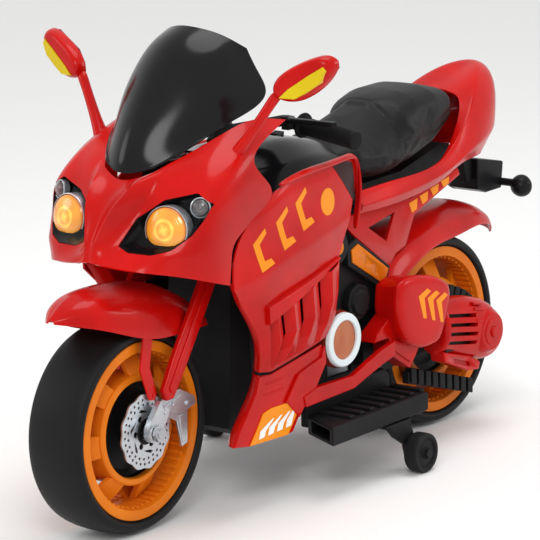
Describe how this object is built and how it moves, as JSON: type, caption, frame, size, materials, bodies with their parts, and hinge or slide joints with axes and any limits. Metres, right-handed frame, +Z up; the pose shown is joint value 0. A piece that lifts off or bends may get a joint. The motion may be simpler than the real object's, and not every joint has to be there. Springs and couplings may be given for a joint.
{
  "type": "child's ride-on motorcycle",
  "caption": "Battery ride-on sports motorcycle for a child: red moulded fairings, orange seven-spoke rims, black saddle and screen, footboards and two stabiliser wheels.",
  "frame": {"origin": "bottom centre of the bounding box, on the floor under the middle of the vehicle", "axes": "+X to the rider's left, +Y towards the tail, +Z up"},
  "size_m": [0.562, 1.178, 0.7417],
  "materials": {
    "red_plastic": "semi-gloss moulded",
    "black_plastic": "fine-grained moulded",
    "gloss_black": "polished",
    "tyre_plastic": "fine circumferential lines",
    "orange_plastic": "satin",
    "amber_lens": "clear over a reflector",
    "silver_plastic": "bright silver",
    "steel": "zinc plated",
    "seat_cover": "soft black artificial leather",
    "grip_rubber": "ribbed",
    "mirror_film": "mirror",
    "ring_plastic": "pale ring round a coppery centre"
  },
  "bodies": {
    "chassis": {"main_frame": "black_plastic", "upper_cowl": "red_plastic", "windscreen": "gloss_black", "headlamp_bezel_left": "gloss_black", "headlamp_bezel_right": "gloss_black", "headlamp_lens_left": "amber_lens", "headlamp_lens_right": "amber_lens", "mirror_left": "red_plastic", "mirror_right": "red_plastic", "mirror_glass_left": "mirror_film", "mirror_glass_right": "mirror_film", "tank_cover": "gloss_black", "side_fairing_left": "red_plastic", "side_fairing_right": "red_plastic", "lower_fairing_left": "red_plastic", "lower_fairing_right": "red_plastic", "battery": "black_plastic", "drive_motor": "steel", "frame_plate_left": "red_plastic", "frame_plate_right": "red_plastic", "engine_casing_left": "black_plastic", "engine_casing_right": "black_plastic", "clutch_ring": "ring_plastic", "gear_cover_left": "red_plastic", "gear_cover_right": "red_plastic", "canister_left": "red_plastic", "canister_right": "red_plastic", "footboard_left": "black_plastic", "footboard_right": "black_plastic", "stabiliser_bracket_left": "black_plastic", "stabiliser_bracket_right": "black_plastic", "seat": "seat_cover", "tail_shell": "red_plastic", "rear_fender": "red_plastic", "tail_lamp": "black_plastic", "rear_signal_left": "gloss_black", "rear_signal_right": "gloss_black", "rear_axle": "steel"},
    "steering": {"fork_crown": "black_plastic", "fork_leg_left": "red_plastic", "fork_leg_right": "red_plastic", "fork_foot_left": "silver_plastic", "fork_foot_right": "silver_plastic", "brake_caliper": "silver_plastic", "front_fender": "red_plastic", "handlebar": "black_plastic", "grip_left": "grip_rubber", "grip_right": "grip_rubber", "front_axle": "steel"},
    "lever_left": {"brake_lever_left": "black_plastic"},
    "lever_right": {"brake_lever_right": "black_plastic"},
    "front_wheel": {"front_tyre": "tyre_plastic", "front_rim": "orange_plastic", "brake_disc": "silver_plastic"},
    "rear_wheel": {"rear_tyre": "tyre_plastic", "rear_rim": "orange_plastic"},
    "stabiliser_left": {"stabiliser_wheel_left": "black_plastic"},
    "stabiliser_right": {"stabiliser_wheel_right": "black_plastic"},
    "throttle": {"accelerator_pedal": "black_plastic"},
    "direction_switch": {"drive_switch": "black_plastic"}
  },
  "joints": [
    {"name": "steering", "type": "hinge", "parent": "chassis", "child": "steering", "pos_m": [0, -0.20057, 0.48665], "axis": [0, 0.5736, 0.8192], "range_deg": [-20, 20]},
    {"name": "front_wheel_spin", "type": "hinge", "parent": "steering", "child": "front_wheel", "pos_m": [0, -0.43, 0.15899], "axis": [1, 0, 0], "continuous": true},
    {"name": "rear_wheel_spin", "type": "hinge", "parent": "chassis", "child": "rear_wheel", "pos_m": [0, 0.32, 0.15899], "axis": [1, 0, 0], "continuous": true},
    {"name": "stabiliser_left_spin", "type": "hinge", "parent": "chassis", "child": "stabiliser_left", "pos_m": [0.206, 0.064, 0.03161], "axis": [1, 0, 0], "continuous": true},
    {"name": "stabiliser_right_spin", "type": "hinge", "parent": "chassis", "child": "stabiliser_right", "pos_m": [-0.206, 0.064, 0.03161], "axis": [1, 0, 0], "continuous": true},
    {"name": "brake_lever_left", "type": "hinge", "parent": "steering", "child": "lever_left", "pos_m": [0.089, -0.107, 0.583], "axis": [0, 0, 1], "range_deg": [0, 12], "stiffness_Nm_per_rad": 0.5},
    {"name": "brake_lever_right", "type": "hinge", "parent": "steering", "child": "lever_right", "pos_m": [-0.089, -0.107, 0.583], "axis": [0, 0, -1], "range_deg": [0, 12], "stiffness_Nm_per_rad": 0.5},
    {"name": "throttle_pedal", "type": "hinge", "parent": "chassis", "child": "throttle", "pos_m": [-0.15, -0.02, 0.1215], "axis": [1, 0, 0], "range_deg": [0, 8], "stiffness_Nm_per_rad": 2},
    {"name": "direction_rocker", "type": "hinge", "parent": "chassis", "child": "direction_switch", "pos_m": [0, -0.02, 0.53], "axis": [1, 0, 0], "range_deg": [-7, 7]}
  ]
}
